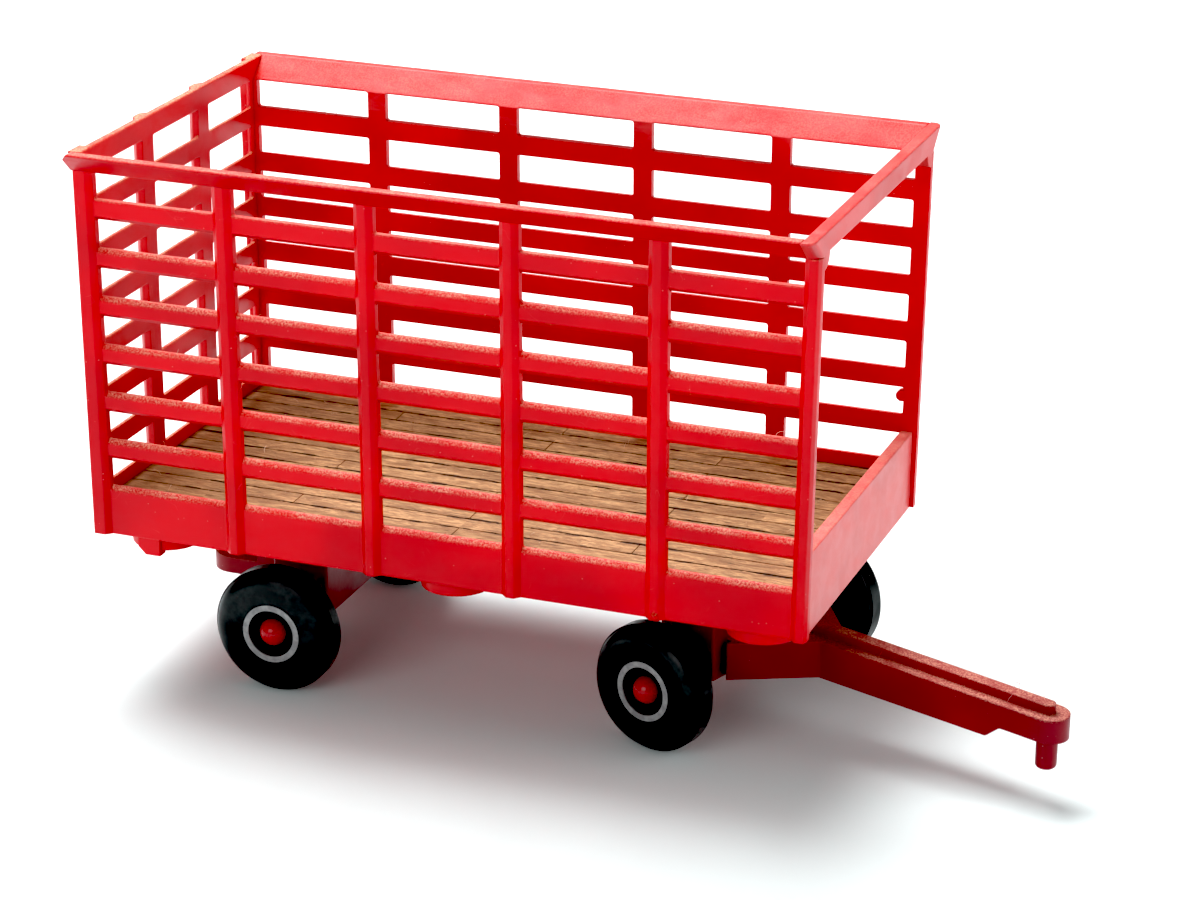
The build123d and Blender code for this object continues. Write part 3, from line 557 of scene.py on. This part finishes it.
rimDepth = 4.2 * mm      # the far rim, which carries the painted pale sheen
finishes = {
    "right_side": makeRackPlastic("rackRedNearSide", dust=0.85, specks=0.45),
    "left_side": makeRackPlastic("rackRedFarSide", dust=0.26, paintedSheen=0.13,
                                 paintedSheenFrom=sideHigh.z - rimDepth),
    "rear_panel": makeRackPlastic("rackRedRearEnd", dust=1.0, dustTint=(0.78, 0.42, 0.26, 1),
                                  specks=0.4),
    "front_panel": makeRackPlastic("rackRedFrontBoard", dust=0.6, paintedReflection=0.30, paintedSheen=0.14,
                                   specks=0.7),
    "front_bar": makeRackPlastic("rackRedTopBar", dust=0.30, paintedReflection=0.16, specks=0.3),
    "floor_pan": makeRackPlastic("rackRedPan", dust=0.5, specks=0.3),
    "board_floor": makeBoardPlastic("boardTan"),
    "rear_carriage": makeGearPaint("gearCrimsonRear", dust=1.0),
    "front_carriage": makeGearPaint("gearCrimsonFront", dust=1.05),
    "reach": makeGearPaint("gearCrimsonReach", dust=0.2),
    "kingpin": makeSteel("steelKingpin", (40, 40, 1)),
    "carriage_screws": makeSteel("steelScrews", (40, 40, 1)),
    "rear_axle": makeSteel("steelRearAxle"),
    "front_axle": makeSteel("steelFrontAxle"),
}
wheelFinishes = {
    "wheel": makeTyre("tyreBlack"),
    "band": makeBand("bandSilver"),
    "cap": makeCap("capRed"),
}
for name, node in nodes.items():
    finish = finishes.get(name) or wheelFinishes[name.rsplit("_", 1)[1]]
    node.data.materials.clear()
    node.data.materials.append(finish)
print("finishes on all", len(nodes), "parts")

# lint: short curled hairs caught on the slats, the boards and the drawbar
lint = {
    "onEachPanel": 50,
    "onBoards": 60,
    "onDrawbar": 26,
    "thickness": 0.022 * mm,
    "shortest": 0.3 * mm,
    "longest": 1.1 * mm,
    "curl": (0.5, 2.4),              # how far round a hair bends
    "steps": 5,
    "rooted": 0.02 * mm,
    "upward": 0.55,                  # least upward facing that holds a hair
    "drawbarTop": (6 * mm, 12 * mm),
    "seed": 41,
}


def growHair(mesh, dice, root, lean):
    length = dice.uniform(lint["shortest"], lint["longest"])
    turn = dice.uniform(*lint["curl"])
    radius = lint["thickness"] * dice.uniform(0.7, 1.2)
    ring = bmesh.ops.create_circle(mesh, segments=3, radius=radius)["verts"]
    edges = {edge for vert in ring for edge in vert.link_edges}
    face = bmesh.ops.contextual_create(mesh, geom=ring)["faces"]
    bmesh.ops.spin(mesh, geom=list(ring) + list(edges) + face, cent=(length / turn, 0, 0),
                   axis=(0, 1, 0), angle=turn, steps=lint["steps"], use_duplicate=False)
    verts = set(ring)      # walk the edges to gather the whole hair
    stack = list(ring)
    while stack:
        vert = stack.pop()
        for edge in vert.link_edges:
            other = edge.other_vert(vert)
            if other not in verts:
                verts.add(other)
                stack.append(other)
    heading = Matrix.Rotation(dice.uniform(0, math.tau), 4, "Z")
    place = Matrix.Translation(root) @ heading @ Matrix.Rotation(lean, 4, "X")
    bmesh.ops.transform(mesh, matrix=place, verts=list(verts))


def upwardFaces(node, lowest, highest):      # corners of each, with areas as odds
    faces, odds = [], []
    for face in node.data.polygons:
        if face.normal.z > lint["upward"] and lowest < face.center.z < highest:
            faces.append([node.data.vertices[i].co.copy() for i in face.vertices])
            odds.append(face.area)
    return faces, odds


def scatter(mesh, dice, node, count, lowest, highest, leanRange):
    faces, odds = upwardFaces(nodes[node], lowest, highest)
    for corners in dice.choices(faces, weights=odds, k=count):
        a, b = sorted((dice.random(), dice.random()))
        root = corners[0] * a + corners[1] * (b - a) + corners[2] * (1 - b)
        root -= Vector((0, 0, lint["rooted"]))
        growHair(mesh, dice, root, dice.uniform(-leanRange, leanRange))


def makeLintFinish(name, pale, tinted):
    material, tree, shader, place = newMaterial(name)
    mix = remap(tree, noiseOf(tree, place, 900.0, 2.0), (0.35, 0.65))
    put(tree, shader.inputs["Base Color"], tint(tree, pale, tinted, mix))
    put(tree, shader.inputs["Roughness"], remap(tree, mix, (0.0, 1.0), (0.6, 0.8)))
    return material


def finishHair(mesh, name, body, finish):
    bmesh.ops.recalc_face_normals(mesh, faces=mesh.faces)
    data = bpy.data.meshes.new(name)
    mesh.to_mesh(data)
    mesh.free()
    piece = bpy.data.objects.new(name, data)
    bpy.context.scene.collection.objects.link(piece)
    data.materials.append(finish)
    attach(piece, body)


dice = random.Random(lint["seed"])
mesh = bmesh.new()
for panel in ("right_side", "left_side", "rear_panel"):
    scatter(mesh, dice, panel, lint["onEachPanel"], sideLow.z + 2 * mm, sideHigh.z - 3 * mm, 1.1)
finishHair(mesh, "rack_lint", "wagon",
           makeLintFinish("lintSalmon", (0.80, 0.42, 0.34, 1), (0.62, 0.16, 0.14, 1)))
mesh = bmesh.new()
scatter(mesh, dice, "board_floor", lint["onBoards"], boardLow.z, boardHigh.z + mm, 1.3)
finishHair(mesh, "board_lint", "wagon",
           makeLintFinish("lintTan", (0.78, 0.62, 0.48, 1), (0.50, 0.34, 0.22, 1)))
mesh = bmesh.new()
scatter(mesh, dice, "front_carriage", lint["onDrawbar"], *lint["drawbarTop"], 1.2)
finishHair(mesh, "drawbar_lint", "front_gear",
           makeLintFinish("lintRose", (0.66, 0.34, 0.32, 1), (0.42, 0.10, 0.12, 1)))
print("lint scattered")

studio = {
    "floorSize": 4.0,
    "floorWhite": (0.85, 0.945, 0.945, 1),
    "floorFibre": (0.80, 0.87, 0.88, 1),
    "floorLift": (0.03, 1.0),        # the sweep brightens away from the wagon,
    "liftOver": (0.15, 0.42),        # so it stays white out to the horizon
    "surround": 0.27,
    "surroundTint": (1.0, 0.995, 0.99, 1),
    "backdrop": 1.1,                 # what the camera sees behind everything
    "lampsAimAhead": 28 * mm,
    "lampsAimUp": 30 * mm,
    "lamps": {                       # place in metres, width, height, watts
        "overheadBox": ((-0.14, 0.12, 0.40), 0.30, 0.24, 3.15),
        "frontBox": ((0.40, 0.04, 0.20), 0.30, 0.30, 0.46),
        "nearFill": ((-0.10, -0.46, 0.22), 0.36, 0.26, 0.66),
    },
}

mesh = bmesh.new()
bmesh.ops.create_grid(mesh, x_segments=1, y_segments=1, size=studio["floorSize"] / 2)
floorData = bpy.data.meshes.new("studio_floor")
mesh.to_mesh(floorData)
mesh.free()
floor = bpy.data.objects.new("studio_floor", floorData)
bpy.context.scene.collection.objects.link(floor)
material, tree, shader, place = newMaterial("paperWhite")
fibre = remap(tree, noiseOf(tree, place, 900.0, 3.0), (0.3, 0.7), (0.0, 0.03))
away = addNode(tree, "ShaderNodeVectorMath", operation="LENGTH")
put(tree, away.inputs[0], place)
lift = remap(tree, away.outputs["Value"], studio["liftOver"], studio["floorLift"])
put(tree, shader.inputs["Base Color"], tint(tree, studio["floorWhite"], studio["floorFibre"], fibre))
put(tree, shader.inputs["Emission Strength"], lift)
shader.inputs["Emission Color"].default_value = (1, 1, 1, 1)
shader.inputs["Roughness"].default_value = 0.75
shader.inputs["Specular IOR Level"].default_value = 0.15
floorData.materials.append(material)

world = bpy.data.worlds.new("studioWhite")
bpy.context.scene.world = world
world.use_nodes = True
tree = world.node_tree
tree.nodes.clear()
surround = addNode(tree, "ShaderNodeBackground")
surround.inputs["Color"].default_value = studio["surroundTint"]
surround.inputs["Strength"].default_value = studio["surround"]
backdrop = addNode(tree, "ShaderNodeBackground", 0, -200)
backdrop.inputs["Color"].default_value = (1, 1, 1, 1)
backdrop.inputs["Strength"].default_value = studio["backdrop"]
seen = addNode(tree, "ShaderNodeLightPath", -200)
blend = addNode(tree, "ShaderNodeMixShader", 200)
output = addNode(tree, "ShaderNodeOutputWorld", 400)
tree.links.new(seen.outputs["Is Camera Ray"], blend.inputs[0])
tree.links.new(surround.outputs[0], blend.inputs[1])
tree.links.new(backdrop.outputs[0], blend.inputs[2])
tree.links.new(blend.outputs[0], output.inputs["Surface"])

aim = Vector((rearAxleX + studio["lampsAimAhead"], 0, studio["lampsAimUp"]))
for name, (spot, wide, tall, watts) in studio["lamps"].items():
    light = bpy.data.lights.new(name, "AREA")
    light.shape = "RECTANGLE"
    light.size = wide
    light.size_y = tall
    light.energy = watts
    lamp = bpy.data.objects.new(name, light)
    bpy.context.scene.collection.objects.link(lamp)
    lamp.location = Vector(spot)
    lamp.rotation_euler = (aim - Vector(spot)).to_track_quat("-Z", "Y").to_euler()

camera = {
    "azimuth": 19.994,               # degrees round from the right side
    "elevation": 21.504,
    "roll": 0.601,
    "distance": 354.827 * mm,
    "lens": 105.516,
    "aimAheadOfRearAxle": 32.322 * mm,
    "aimAboveRackFoot": 6.037 * mm,
    "shift": (-0.02325, 0.02483),
    "blackPoint": 0.044,             # sinks the darkest tones to deep black
}
azimuth = math.radians(camera["azimuth"])
elevation = math.radians(camera["elevation"])
roll = math.radians(camera["roll"])
level = math.cos(elevation)
back = Vector((math.sin(azimuth) * level, -math.cos(azimuth) * level, math.sin(elevation)))
target = Vector((rearAxleX + camera["aimAheadOfRearAxle"], 0, sideLow.z + camera["aimAboveRackFoot"]))
right = Vector((-back.y, back.x, 0)).normalized()
up = back.cross(right)
rolledRight = right * math.cos(roll) + up * math.sin(roll)
rolledUp = up * math.cos(roll) - right * math.sin(roll)
cameraData = bpy.data.cameras.new("studioCamera")
cameraData.sensor_width = 36
cameraData.lens = camera["lens"]
cameraData.shift_x, cameraData.shift_y = camera["shift"]
cameraData.clip_start = 0.01
cameraData.clip_end = 20
cameraObject = bpy.data.objects.new("studioCamera", cameraData)
bpy.context.scene.collection.objects.link(cameraObject)
turn = Matrix((rolledRight, rolledUp, back)).transposed().to_4x4()
cameraObject.matrix_world = Matrix.Translation(target + back * camera["distance"]) @ turn
bpy.context.scene.camera = cameraObject
look = bpy.context.scene.view_settings
look.view_transform = "Standard"
look.use_curve_mapping = True
look.curve_mapping.black_level = (camera["blackPoint"],) * 3
look.curve_mapping.update()
print("studio ready")
